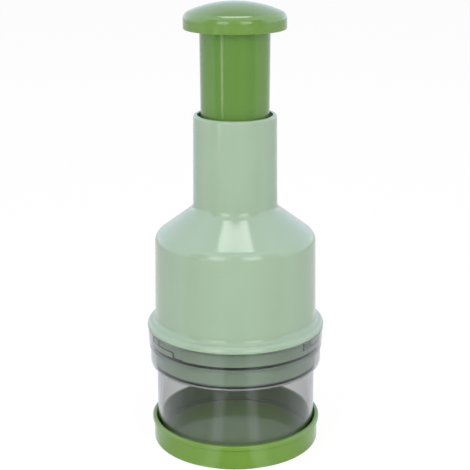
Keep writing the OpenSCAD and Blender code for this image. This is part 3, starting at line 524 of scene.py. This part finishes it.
# A flat strip with a steady twist, between a plain journal below and a rod and pivot above
rod_end = span("thrust_washer")[0] / mm_in_metre
pivot_end = span("drive_spindle")[1] / mm_in_metre
tree, size, out = recipe("twisted spindle", {
    "Foot": 0.0655, "Strip start": 0.0835, "Strip end": 0.14, "Rod end": rod_end, "Pivot end": pivot_end,
    "Strip width": 0.008, "Strip thickness": 0.0025, "Journal radius": 0.0049, "Rod radius": 0.005,
    "Pivot radius": 0.003, "Turn at start": -2.2, "Turn": 82.7, "Material": None})
ends = {"Start": at(tree, z=size["Strip start"]), "End": at(tree, z=size["Strip end"])}
line = add(tree, "GeometryNodeCurvePrimitiveLine", ends).outputs[0]
line = add(tree, "GeometryNodeResampleCurve", {"Curve": line, "Count": 120}).outputs[0]
along = add(tree, "GeometryNodeSplineParameter").outputs["Factor"]
twist = maths(tree, "RADIANS", maths(tree, "MULTIPLY_ADD", along, size["Turn"], size["Turn at start"]))
line = add(tree, "GeometryNodeSetCurveTilt", {"Curve": line, "Tilt": twist}).outputs[0]
flat = {"Width": size["Strip width"], "Height": size["Strip thickness"]}
section = add(tree, "GeometryNodeCurvePrimitiveQuadrilateral", flat).outputs[0]
swept = {"Curve": line, "Profile Curve": section, "Fill Caps": True}
solids = [add(tree, "GeometryNodeCurveToMesh", swept).outputs[0]]
for radius, low, high in (("Journal radius", "Foot", "Strip start"), ("Rod radius", "Strip end", "Rod end"),
                          ("Pivot radius", "Rod end", "Pivot end")):
    length = maths(tree, "SUBTRACT", size[high], size[low])
    rod = {"Vertices": 64, "Radius": size[radius], "Depth": length}
    middle = maths(tree, "MULTIPLY_ADD", length, 0.5, size[low])
    solids.append(moved(tree, add(tree, "GeometryNodeMeshCylinder", rod).outputs[0], at(tree, z=middle)))
finish_recipe(tree, together(tree, solids), size["Material"], out)
spindle = made("spindle_with_twisted_strip", tree, {"Material": turned_steel})
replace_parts(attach(spindle, "rotor"), "drive_spindle")


# Deck screws
# Three plated pan-head screws with a cross recess. They go up through the
# deck into the housing's bosses.

def around_axis(tree, geometry, copies, circle, first, z=0.0):
    """Copies of a geometry on a circle round the axis, each turned to face outwards."""
    index = add(tree, "GeometryNodeInputIndex").outputs[0]
    turn = maths(tree, "MULTIPLY", index, maths(tree, "DIVIDE", 2 * pi, copies))
    turn = maths(tree, "ADD", turn, maths(tree, "RADIANS", first))
    x = maths(tree, "MULTIPLY", circle, maths(tree, "COSINE", turn))
    y = maths(tree, "MULTIPLY", circle, maths(tree, "SINE", turn))
    spots = add(tree, "GeometryNodePoints", {"Count": copies, "Position": at(tree, x, y, z)}).outputs[0]
    copied = {"Points": spots, "Instance": geometry, "Rotation": at(tree, z=turn)}
    return add(tree, "GeometryNodeInstanceOnPoints", copied).outputs[0]


tree, size, out = recipe("deck screws", {
    "Copies": 3, "Circle": 0.030, "First": 60.0, "Deck": 0.100, "Head radius": 0.0026,
    "Crown radius": 0.0021, "Head height": 0.002, "Shank radius": 0.00125, "Shank length": 0.010,
    "Recess depth": 0.0012, "Recess length": 0.00286, "Recess width": 0.000625, "Recess drop": 0.0019,
    "Material": None})
cone = {"Vertices": 48, "Radius Top": size["Head radius"], "Radius Bottom": size["Crown radius"],
        "Depth": size["Head height"]}
crown = maths(tree, "MULTIPLY", size["Head height"], -1.0)
head = moved(tree, add(tree, "GeometryNodeMeshCone", cone).outputs[0], at(tree, z=crown))
cross = add(tree, "GeometryNodeMeshBoolean", {"Mesh 1": head}, operation="DIFFERENCE")
drop = maths(tree, "MULTIPLY", size["Recess drop"], -1.0)
for turn in (0.0, pi / 2):
    block = {"Size": at(tree, size["Recess length"], size["Recess width"], size["Recess depth"])}
    arm = add(tree, "GeometryNodeMeshCube", block).outputs[0]
    tree.links.new(moved(tree, arm, at(tree, z=drop), (0.0, 0.0, turn)), cross.inputs["Mesh 2"])
rod = {"Vertices": 32, "Radius": size["Shank radius"], "Depth": size["Shank length"]}
middle = maths(tree, "MULTIPLY", size["Shank length"], 0.5)
shank = moved(tree, add(tree, "GeometryNodeMeshCylinder", rod).outputs[0], at(tree, z=middle))
screw = together(tree, (cross.outputs[0], shank))
finish_recipe(tree, around_axis(tree, screw, size["Copies"], size["Circle"], size["First"], size["Deck"]),
              size["Material"], out)
screws = made("deck_screw_set", tree, {"Material": turned_steel})
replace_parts(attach(screws, "housing"), "deck_screws")


# Springs
# Drawn steel wire with close end turns: one big spring under the plunger's
# web, and three small ones that push the wiper plate down.

# Drawn wire: fine grain and a slightly cloudy oiled film
drawing, given, result = effect("drawn wire", {"Gloss": 0.2, "Film": 0.15}, ("Roughness", "Height"))
place = add(drawing, "ShaderNodeTexCoord").outputs["Object"]
film = maths(drawing, "MULTIPLY_ADD", noise(drawing, place, 400.0, 4.0), given["Film"], given["Gloss"])
drawing.links.new(film, result["Roughness"])
drawing.links.new(noise(drawing, place, 3000.0, 2.0), result["Height"])
spring_steel = metal("spring steel", (0.44, 0.45, 0.47), drawing, 0.15)

points_a_turn = 40.0
tree, size, out = recipe("compression spring", {
    "Copies": 1, "Circle": 0.0, "First": 0.0, "Seat": 0.0, "Height": 0.1, "Coil radius": 0.01,
    "Wire": 0.0016, "Turns": 14.0, "End gap": 0.0005, "Material": None})
line = add(tree, "GeometryNodeCurvePrimitiveLine", {"End": (0.0, 0.0, 1.0)}).outputs[0]
points = maths(tree, "MULTIPLY", size["Turns"], points_a_turn)
points = add(tree, "FunctionNodeFloatToInt", {0: points}).outputs[0]
line = add(tree, "GeometryNodeResampleCurve", {"Curve": line, "Count": points}).outputs[0]
turns = maths(tree, "MULTIPLY", add(tree, "GeometryNodeSplineParameter").outputs["Factor"], size["Turns"])
angle = maths(tree, "MULTIPLY", turns, 2 * pi)
# The first and last turn rise by the wire and a small gap, the turns between them share the rest
close = maths(tree, "ADD", size["Wire"], size["End gap"])
open_turns = maths(tree, "SUBTRACT", size["Turns"], 2.0)
open_height = maths(tree, "SUBTRACT", size["Height"], size["Wire"])
open_height = maths(tree, "SUBTRACT", open_height, maths(tree, "MULTIPLY", close, 2.0))
pitch = maths(tree, "DIVIDE", open_height, open_turns)
past_first = maths(tree, "SUBTRACT", turns, 1.0)
on_first = maths(tree, "MINIMUM", turns, 1.0)
on_open = maths(tree, "MINIMUM", maths(tree, "MAXIMUM", past_first, 0.0), open_turns)
on_last = maths(tree, "MAXIMUM", maths(tree, "SUBTRACT", past_first, open_turns), 0.0)
rise = maths(tree, "MULTIPLY_ADD", on_open, pitch, maths(tree, "MULTIPLY", on_first, close))
rise = maths(tree, "ADD", rise, maths(tree, "MULTIPLY", on_last, close))
wire_radius = maths(tree, "MULTIPLY", size["Wire"], 0.5)
rise = maths(tree, "ADD", rise, wire_radius)
x = maths(tree, "MULTIPLY", size["Coil radius"], maths(tree, "COSINE", angle))
y = maths(tree, "MULTIPLY", size["Coil radius"], maths(tree, "SINE", angle))
coil = add(tree, "GeometryNodeSetPosition", {"Geometry": line, "Position": at(tree, x, y, rise)}).outputs[0]
section = add(tree, "GeometryNodeCurvePrimitiveCircle", {"Resolution": 12, "Radius": wire_radius}).outputs[0]
swept = {"Curve": coil, "Profile Curve": section, "Fill Caps": True}
wire = add(tree, "GeometryNodeCurveToMesh", swept).outputs[0]
finish_recipe(tree, around_axis(tree, wire, size["Copies"], size["Circle"], size["First"], size["Seat"]),
              size["Material"], out)
seat = span("lower_spring_washer")[1]
height = span("upper_spring_washer")[0] - seat
return_spring = made("return_spring_coil", tree, {
    "Seat": seat / mm_in_metre, "Height": height / mm_in_metre, "Coil radius": 0.0105, "Wire": 0.0016,
    "Turns": 14.0, "Material": spring_steel}, sharp=50)
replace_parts(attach(return_spring, "housing"), "return_spring")
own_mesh(return_spring)
wiper_springs = made("wiper_spring_set", tree, {
    "Copies": 3, "Circle": 0.024, "First": 60.0, "Seat": 0.0468, "Height": 0.0172, "Coil radius": 0.00395,
    "Wire": 0.0007, "Turns": 6.0, "Material": spring_steel}, sharp=50)
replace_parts(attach(wiper_springs, "rotor"), "wiper_springs")
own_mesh(wiper_springs)


# Zigzag blades
# Three strips of stainless steel, each bent into a W on edge and ground to a
# bevel below. Their tops sit in the carrier's grooves.

# Brushed strip: long upright grinding lines
brushing, given, result = effect("brushed strip", {"Gloss": 0.22, "Spread": 0.16}, ("Roughness", "Height"))
place = add(brushing, "ShaderNodeTexCoord").outputs["Object"]
lines = add(brushing, "ShaderNodeMapping", {"Vector": place, "Scale": (1.0, 1.0, 0.03)}).outputs[0]
marks = noise(brushing, lines, 2500.0, 3.0)
rough = maths(brushing, "MULTIPLY_ADD", marks, given["Spread"], given["Gloss"])
brushing.links.new(rough, result["Roughness"])
brushing.links.new(marks, result["Height"])
blade_steel = metal("blade steel", (0.60, 0.61, 0.62), brushing, 0.25)

# The strip's path from above: straight legs between rounded bends on two circles
outer_bend_r, inner_bend_r, end_angle, inner_bend_angle = 33, 12, 48, 28
bend_round, bend_steps = 1.2, 12
bends = [Vector((r * cos(radians(a)), r * sin(radians(a)))) for r, a in
         ((outer_bend_r, -end_angle), (inner_bend_r, -inner_bend_angle), (outer_bend_r, 0),
          (inner_bend_r, inner_bend_angle), (outer_bend_r, end_angle))]
rounds = [0, bend_round, bend_round, bend_round, 0]
sides = [-1, 1, -1, 1]
headings = []
for k in range(4):
    leg = bends[k + 1] - bends[k]
    headings.append(atan2(leg.y, leg.x) - sides[k] * asin((rounds[k] + rounds[k + 1]) / leg.length))
path = [bends[0]]
for k in range(1, 4):
    turn = (headings[k] - headings[k - 1]) % (2 * pi)
    turn = turn - 2 * pi if sides[k] > 0 else turn
    for j in range(bend_steps + 1):
        lean = headings[k] - turn * (1 - j / bend_steps) + sides[k] * pi / 2
        path.append(bends[k] + bend_round * Vector((cos(lean), sin(lean))))
path.append(bends[4])
trace = bpy.data.meshes.new("blade_trace")
trace.from_pydata([(p.x / mm_in_metre, p.y / mm_in_metre, 0) for p in path],
                  [(k, k + 1) for k in range(len(path) - 1)], [])

tip_z, blade_top_z, _ = span("zigzag_blade_1")
tree, size, out = recipe("zigzag blade", {
    "Place": 0.0, "Tip": tip_z / mm_in_metre, "Height": (blade_top_z - tip_z) / mm_in_metre, "Bevel": 0.003,
    "Thickness": 0.0008, "Edge": 0.0001, "Material": None})
wall = add(tree, "GeometryNodeMeshToCurve", {0: size["Geometry"]}).outputs[0]
wall = add(tree, "GeometryNodeSetCurveNormal", {"Curve": wall}, mode="Z_UP").outputs[0]
half = maths(tree, "MULTIPLY", size["Thickness"], 0.5)
other_half = maths(tree, "MULTIPLY", half, -1.0)
keen = maths(tree, "MULTIPLY", size["Edge"], 0.5)
other_keen = maths(tree, "MULTIPLY", keen, -1.0)
corners = [(other_keen, 0.0), (keen, 0.0), (half, size["Bevel"]), (half, size["Height"]),
           (other_half, size["Height"]), (other_half, size["Bevel"])]
index = add(tree, "GeometryNodeInputIndex").outputs[0]
across, upward = 0.0, 0.0
for k, (x, z) in enumerate(corners):
    here = add(tree, "FunctionNodeCompare", {2: index, 3: k}, data_type="INT", operation="EQUAL").outputs[0]
    across = maths(tree, "MULTIPLY_ADD", here, x, across)
    upward = maths(tree, "MULTIPLY_ADD", here, z, upward)
# A ring with one point for each corner, which then move to the corners
ring = {"Resolution": len(corners), "Radius": 0.001}
section = add(tree, "GeometryNodeCurvePrimitiveCircle", ring).outputs[0]
corner = at(tree, across, maths(tree, "MULTIPLY", upward, -1.0))
section = add(tree, "GeometryNodeSetPosition", {"Geometry": section, "Position": corner}).outputs[0]
swept = {"Curve": wall, "Profile Curve": section, "Fill Caps": True}
blade = moved(tree, add(tree, "GeometryNodeCurveToMesh", swept).outputs[0], at(tree, z=size["Tip"]),
              at(tree, z=maths(tree, "RADIANS", size["Place"])))
finish_recipe(tree, blade, size["Material"], out)
for k in range(3):
    values = {"Place": 120.0 * k, "Material": blade_steel}
    blade = made(f"zigzag_blade_strip_{k + 1}", tree, values, trace.copy(), sharp=20)
    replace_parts(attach(blade, "rotor"), f"zigzag_blade_{k + 1}")


# Wiper plate
# A slotted white disc that the blades pass through. It hangs from the carrier
# on three split posts and strips the food off the blades.

wiper_plastic = plastic("wiper plastic", (0.80, 0.80, 0.76), 0.28, cloud=0.08, scuffs=0.12, flow=0.02)
dress(wiper_plastic, "wiper_plate")


# Plunger tube
# A green moulded tube with a stop flange at its foot, a web inside that the
# spindle hangs on, and a plate at its top that the knob snaps over.

tube_plastic = plastic("tube green plastic", (0.138, 0.285, 0.056), 0.12, cloud=0.05, scuffs=0.05, wear=0.05,
                       flow=0.02)
flange_z, plate_top_z, plate_r = span("plunger_tube")
tube_in_r, tube_foot_r, tube_r, flange_r, pivot_hole_r = 15.2, 16.85, 17.2, 18.3, 3.1
flange_height, web_height, plate_height = 3.2, 3, 2
flange_top_z, plate_z = flange_z + flange_height, plate_top_z - plate_height
web_z = span("thrust_washer")[1]
web_top_z = web_z + web_height
plunger = turned("plunger_tube_shell", rounded([
    (tube_in_r, flange_z, 0.4), (flange_r, flange_z, 0.4), (flange_r, flange_top_z, 0.3),
    (tube_foot_r, flange_top_z), (tube_r, plate_z), (plate_r, plate_z, 0.3), (plate_r, plate_top_z, 0.3),
    (tube_in_r, plate_top_z, 0.3), (tube_in_r, web_top_z), (pivot_hole_r, web_top_z, 0.3),
    (pivot_hole_r, web_z, 0.3), (tube_in_r, web_z)]))
plunger.data.materials.append(tube_plastic)
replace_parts(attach(plunger, "plunger"), "plunger_tube")


# Knob
# A light green domed cap, pressed with the palm. A ring inside it goes into
# the tube, and its wall snaps over the tube's plate.

knob_plastic = plastic("knob green plastic", (0.170, 0.315, 0.066), 0.11, cloud=0.05, scuffs=0.04, wear=0.05,
                       flow=0.02)
ring_z, knob_top_z, knob_r = span("knob_cap")
knob_wall, knob_foot, knob_edge, dome_r, snap_r = 2.2, 0.6, 3.9, 57, 21.8
ring_in_r, ring_r, ring_lead_r, ring_lead_z = 13.35, 15.15, 14.95, 209.6
knob_z, snap_top_z = plate_z - 0.5, plate_top_z + 1.1
dome_z = knob_top_z - dome_r
inner_dome_r = dome_r - knob_wall
side_r = knob_r - knob_edge
# Angles from the upright where the edge's rounding, and the ring's two walls, meet the dome
edge_tip = degrees(asin(side_r / (dome_r - knob_edge)))
ring_in_tip, ring_tip = degrees(asin(ring_in_r / inner_dome_r)), degrees(asin(ring_r / inner_dome_r))
side_z = dome_z + (dome_r - knob_edge) * cos(radians(edge_tip))
outside = (bow(knob_r - knob_foot, knob_z + knob_foot, knob_foot, -90, 0, 6)
           + bow(side_r, side_z, knob_edge, 0, 90 - edge_tip)
           + bow(0, dome_z, dome_r, 90 - edge_tip, 90)[1:])
inside = (bow(0, dome_z, inner_dome_r, 90, 90 - ring_in_tip, 8)
          + [(ring_in_r, ring_z), (ring_lead_r, ring_z), (ring_r, ring_lead_z)]
          + bow(0, dome_z, inner_dome_r, 90 - ring_tip, 90 - edge_tip, 8)
          + bow(side_r, side_z, knob_edge - knob_wall, 90 - edge_tip, 0, 6)[1:]
          + [(snap_r, snap_top_z), (snap_r, plate_top_z), (knob_r - knob_wall, plate_top_z),
             (knob_r - knob_wall, knob_z)])
knob = turned("knob_dome", outside + inside)
knob.data.materials.append(knob_plastic)
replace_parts(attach(knob, "plunger"), "knob_cap")


# Photo set
# A pale floor in plain white surroundings. The gloss sees both darker towards the
# camera. A softbox stands on each side, a wide lamp overhead lights only matt
# surfaces, and a softbox overhead and a small strip at the left show only in gloss.

def soft_step(tree, value, low, high):
    """A soft step from 0 at low to 1 at high."""
    return ramp(tree, value, low, high, bend="SMOOTHSTEP")


def ahead_and_reach(tree, parts):
    """How far a place lies towards the camera's side (-1 to 1), and its distance from the axis."""
    squares = [maths(tree, "MULTIPLY", parts[i], parts[i]) for i in (0, 1)]
    reach = maths(tree, "SQRT", maths(tree, "ADD", *squares))
    forward = maths(tree, "MULTIPLY", parts[1], -1.0)
    return maths(tree, "DIVIDE", forward, maths(tree, "MAXIMUM", reach, 0.001)), reach


def mirror_rays(tree, ray):
    """1 for a ray that gloss sent on, 0 for a straight or clear look and for light on matt surfaces."""
    glossy = maths(tree, "GREATER_THAN", ray["Glossy Depth"], 0.5)
    return maths(tree, "MULTIPLY", glossy, maths(tree, "LESS_THAN", ray["Diffuse Depth"], 0.5))


paper = bpy.data.materials.new("pale floor")
paper.use_nodes = True
tree = paper.node_tree
principled = tree.nodes["Principled BSDF"]
principled.inputs["Base Color"].default_value = (0.95, 0.95, 0.95, 1)
principled.inputs["Roughness"].default_value = 0.9
principled.inputs["Specular IOR Level"].default_value = 0.0
place = add(tree, "ShaderNodeTexCoord").outputs["Object"]
ray = add(tree, "ShaderNodeLightPath").outputs
mirrored = mirror_rays(tree, ray)
ahead, reach = ahead_and_reach(tree, add(tree, "ShaderNodeSeparateXYZ", {0: place}).outputs)
# Seen in gloss, the floor in front is dark in its middle and far out, with a light pool on either side
front = maths(tree, "MULTIPLY_ADD", soft_step(tree, reach, 0.2, 0.3), 0.6, 0.3)
front = maths(tree, "MULTIPLY", soft_step(tree, ahead, 0.2, 0.5), front)
middle = maths(tree, "MAXIMUM", soft_step(tree, reach, 0.085, 0.06), soft_step(tree, reach, 0.12, 0.16))
middle = maths(tree, "MULTIPLY", soft_step(tree, ahead, 0.955, 0.985), middle)
pools = maths(tree, "MULTIPLY", soft_step(tree, ahead, 0.87, 0.93), soft_step(tree, ahead, 0.985, 0.955))
pools = maths(tree, "MULTIPLY", pools, soft_step(tree, reach, 0.16, 0.12))
dark = maths(tree, "SUBTRACT", maths(tree, "MAXIMUM", front, middle), maths(tree, "MULTIPLY", pools, 0.8))
dark = maths(tree, "MULTIPLY", dark, mirrored)
strength = maths(tree, "MULTIPLY_ADD", dark, -0.95, 1.07)
looked = maths(tree, "MAXIMUM", ray["Is Camera Ray"], ray["Is Glossy Ray"])
looked = maths(tree, "MAXIMUM", looked, ray["Is Transmission Ray"])
tone = mixed(tree, mirrored, (1, 1, 1, 1), (0.95, 0.98, 1.03, 1))
glow = add(tree, "ShaderNodeEmission", {"Color": tone, "Strength": strength}).outputs[0]
share = maths(tree, "MULTIPLY", looked, 0.85)
surface = add(tree, "ShaderNodeMixShader", {0: share, 1: principled.outputs[0], 2: glow}).outputs[0]
tree.links.new(surface, tree.nodes["Material Output"].inputs["Surface"])

floor_mesh = bmesh.new()
bmesh.ops.create_grid(floor_mesh, x_segments=1, y_segments=1, size=6)
floor = closed("floor", floor_mesh)
floor.data.materials.append(paper)

world = bpy.data.worlds.new("white surroundings")
bpy.context.scene.world = world
world.use_nodes = True
tree = world.node_tree
place = add(tree, "ShaderNodeTexCoord").outputs["Generated"]
parts = add(tree, "ShaderNodeSeparateXYZ", {0: place}).outputs
ray = add(tree, "ShaderNodeLightPath").outputs
mirrored = mirror_rays(tree, ray)
ahead = ahead_and_reach(tree, parts)[0]
aside = maths(tree, "ABSOLUTE", parts[0])
# Seen in gloss, the surroundings are brightest at the sides, and dark in front except high above
level = maths(tree, "MULTIPLY_ADD", soft_step(tree, aside, 0.15, 0.7), 1.0, 1.25)
fall = maths(tree, "SUBTRACT", 0.25, level)
level = maths(tree, "MULTIPLY_ADD", soft_step(tree, ahead, 0.2, 0.5), fall, level)
above = maths(tree, "MULTIPLY_ADD", soft_step(tree, ahead, -0.2, 0.2), 0.8, 0.9)
above_aside = maths(tree, "MULTIPLY_ADD", soft_step(tree, aside, 0.1, 0.5), 1.4, 0.9)
above = maths(tree, "MAXIMUM", above, above_aside)
level = mixed(tree, soft_step(tree, parts[2], 0.62, 0.74), level, above)
looked = maths(tree, "MAXIMUM", ray["Is Camera Ray"], ray["Is Transmission Ray"])
looked = maths(tree, "MULTIPLY", maths(tree, "LESS_THAN", ray["Diffuse Depth"], 0.5), looked)
strength = mixed(tree, mirrored, mixed(tree, looked, 0.45, 1.0), level)
tree.links.new(strength, tree.nodes["Background"].inputs["Strength"])
tone = mixed(tree, mirrored, (1, 1, 1, 1), (0.84, 0.93, 1.10, 1))
tree.links.new(tone, tree.nodes["Background"].inputs["Color"])


def soft_light(name, place, aim, width, height, power, matt=True, gloss=True):
    """A rectangular area light in metres and watts, which lights matt surfaces, shows in gloss, or both."""
    lamp = bpy.data.lights.new(name, "AREA")
    lamp.shape = "RECTANGLE"
    lamp.size, lamp.size_y = width, height
    lamp.energy = power
    light = bpy.data.objects.new(name, lamp)
    light.location = place
    light.rotation_euler = (Vector(aim) - Vector(place)).to_track_quat("-Z", "Y").to_euler()
    light.visible_camera = False
    light.visible_diffuse = matt
    light.visible_glossy = gloss
    bpy.context.scene.collection.objects.link(light)


soft_light("left_softbox", (-0.28, -0.57, 0.36), (0, 0, 0.13), 0.27, 0.40, 1.2)
soft_light("right_softbox", (0.26, -0.58, 0.36), (0, 0, 0.13), 0.27, 0.40, 1.2)
soft_light("overhead_softbox", (0, 0.235, 1.35), (0, 0.235, 0.1), 0.61, 0.60, 7.3, matt=False)
soft_light("overhead_fill", (0, 0.1, 1.4), (0, 0, 0.1), 1.4, 1.4, 3.2, gloss=False)
soft_light("left_strip", (-0.335, -0.37, 0.112), (0, 0, 0.112), 0.05, 0.07, 0.048, matt=False)

sensor_mm, lens_mm = 36, 94.69
camera_place, camera_tilt, camera_roll = (0.0002, -0.5974, 0.2850), 73.60, 0.12
camera = bpy.data.objects.new("camera", bpy.data.cameras.new("camera"))
camera.data.sensor_width = sensor_mm
camera.data.lens = lens_mm
camera.location = camera_place
camera.rotation_euler = (radians(camera_tilt), radians(camera_roll), 0)
bpy.context.scene.collection.objects.link(camera)
bpy.context.scene.camera = camera
bpy.context.scene.view_settings.view_transform = "Standard"
